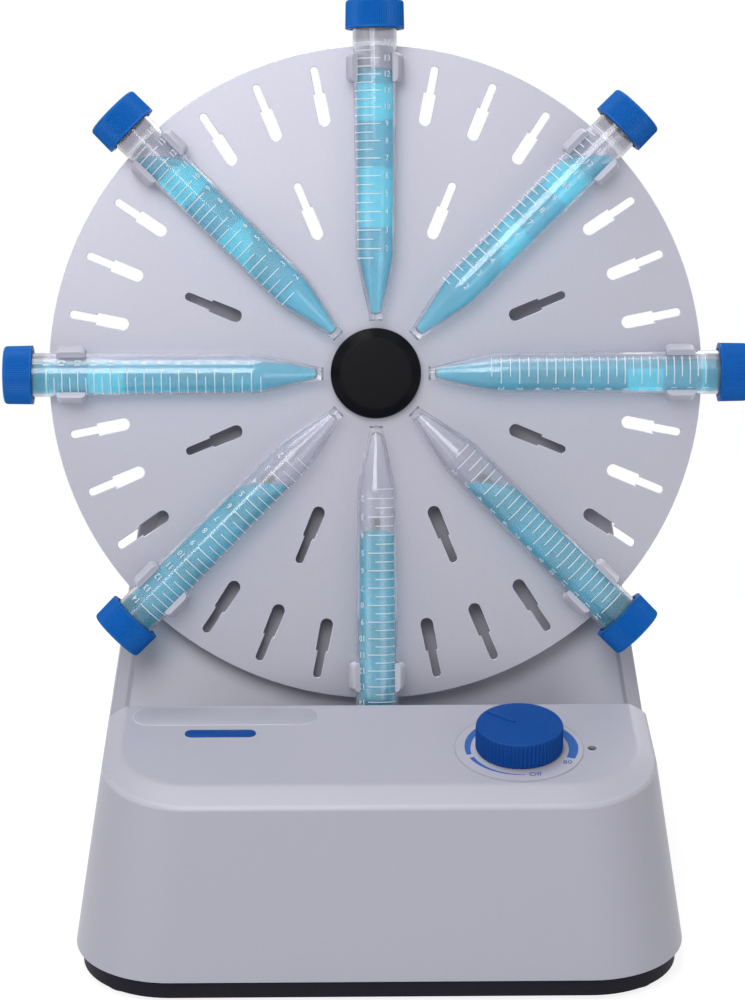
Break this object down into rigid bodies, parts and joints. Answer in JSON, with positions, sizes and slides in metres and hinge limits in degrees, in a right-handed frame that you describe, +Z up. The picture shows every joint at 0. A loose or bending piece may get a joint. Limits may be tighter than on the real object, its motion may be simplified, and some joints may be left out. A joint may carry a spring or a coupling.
{
  "type": "tube rotator",
  "caption": "Benchtop tube rotator: a tilted slotted disc turns conical screw-cap tubes held radially in clips above a boxy base with a speed knob.",
  "frame": {"origin": "middle of the footprint at bench level", "axes": "+Z up, the console and knob face -Y, +X to the right seen from the front"},
  "size_m": [0.282, 0.235, 0.3377],
  "materials": {
    "housing": "light lavender grey, fine satin",
    "base_plate": "dark charcoal",
    "rubber": "soft black",
    "screws": "zinc plated",
    "black_plastic": "black",
    "circuit_board": "green",
    "wire": "red",
    "plated_steel": "plated",
    "steel": "ground",
    "blue_plastic": "blue",
    "label": "satin film",
    "lamp": "clear green",
    "brass": "machined",
    "aluminium": "turned",
    "magnet": "sintered",
    "copper": "wound copper",
    "disc_metal": "fine satin",
    "liquid": "clear cyan",
    "clip_plastic": "milky clear",
    "clear_plastic": "clear"
  },
  "bodies": {
    "base": {"front_housing": "housing", "rear_cover": "housing", "bottom_plate": "base_plate", "rubber_feet": "rubber", "case_screws": "screws", "power_socket": "black_plastic", "control_board": "circuit_board", "wiring": "wire", "potentiometer": "plated_steel", "potentiometer_nut": "plated_steel", "dial_label": "label", "indicator_lamp": "lamp", "gear_plate_front": "plated_steel", "gear_plate_rear": "plated_steel", "plate_spacers": "brass", "gearbox_screws": "screws", "bearing_housing": "aluminium", "front_bearing": "steel", "rear_bush": "brass", "gear_axle": "steel", "motor_can": "plated_steel", "motor_magnets": "magnet"},
    "rotor": {"main_shaft": "steel", "output_gear": "brass", "disc_hub": "aluminium", "hub_set_screw": "screws", "rotor_disc": "disc_metal", "hub_cap": "black_plastic", "cap_insert": "brass", "sample_liquid": "liquid", "tube_clip_1": "clip_plastic", "tube_clip_2": "clip_plastic", "tube_clip_3": "clip_plastic", "tube_clip_4": "clip_plastic", "tube_clip_5": "clip_plastic", "tube_clip_6": "clip_plastic", "tube_clip_7": "clip_plastic", "tube_clip_8": "clip_plastic", "tube_1": "clear_plastic", "tube_2": "clear_plastic", "tube_3": "clear_plastic", "tube_4": "clear_plastic", "tube_5": "clear_plastic", "tube_6": "clear_plastic", "tube_7": "clear_plastic", "tube_8": "clear_plastic", "tube_cap_1": "blue_plastic", "tube_cap_2": "blue_plastic", "tube_cap_3": "blue_plastic", "tube_cap_4": "blue_plastic", "tube_cap_5": "blue_plastic", "tube_cap_6": "blue_plastic", "tube_cap_7": "blue_plastic", "tube_cap_8": "blue_plastic"},
    "intermediate_gear": {"compound_gear": "brass"},
    "motor_rotor": {"motor_armature": "copper", "motor_pinion": "brass"},
    "knob": {"speed_knob": "blue_plastic", "potentiometer_shaft": "steel"}
  },
  "joints": [
    {"name": "disc_spin", "type": "hinge", "parent": "base", "child": "rotor", "pos_m": [0, 0.022, 0.197], "axis": [0, -0.9537, 0.3007], "continuous": true},
    {"name": "idler_spin", "type": "hinge", "parent": "base", "child": "intermediate_gear", "pos_m": [-0.02425, 0.0464, 0.17463], "axis": [0, -0.9537, 0.3007], "continuous": true},
    {"name": "motor_spin", "type": "hinge", "parent": "base", "child": "motor_rotor", "pos_m": [-0.01025, 0.06581, 0.14308], "axis": [0, -0.9537, 0.3007], "continuous": true},
    {"name": "knob_turn", "type": "hinge", "parent": "base", "child": "knob", "pos_m": [0.0514, -0.0753, 0.0835], "axis": [0, -0.1045, 0.9945], "range_deg": [-166, 134]}
  ],
  "couplings": [
    {"joint": "idler_spin", "follows": "disc_spin", "ratio": -4},
    {"joint": "motor_spin", "follows": "disc_spin", "ratio": 16}
  ]
}
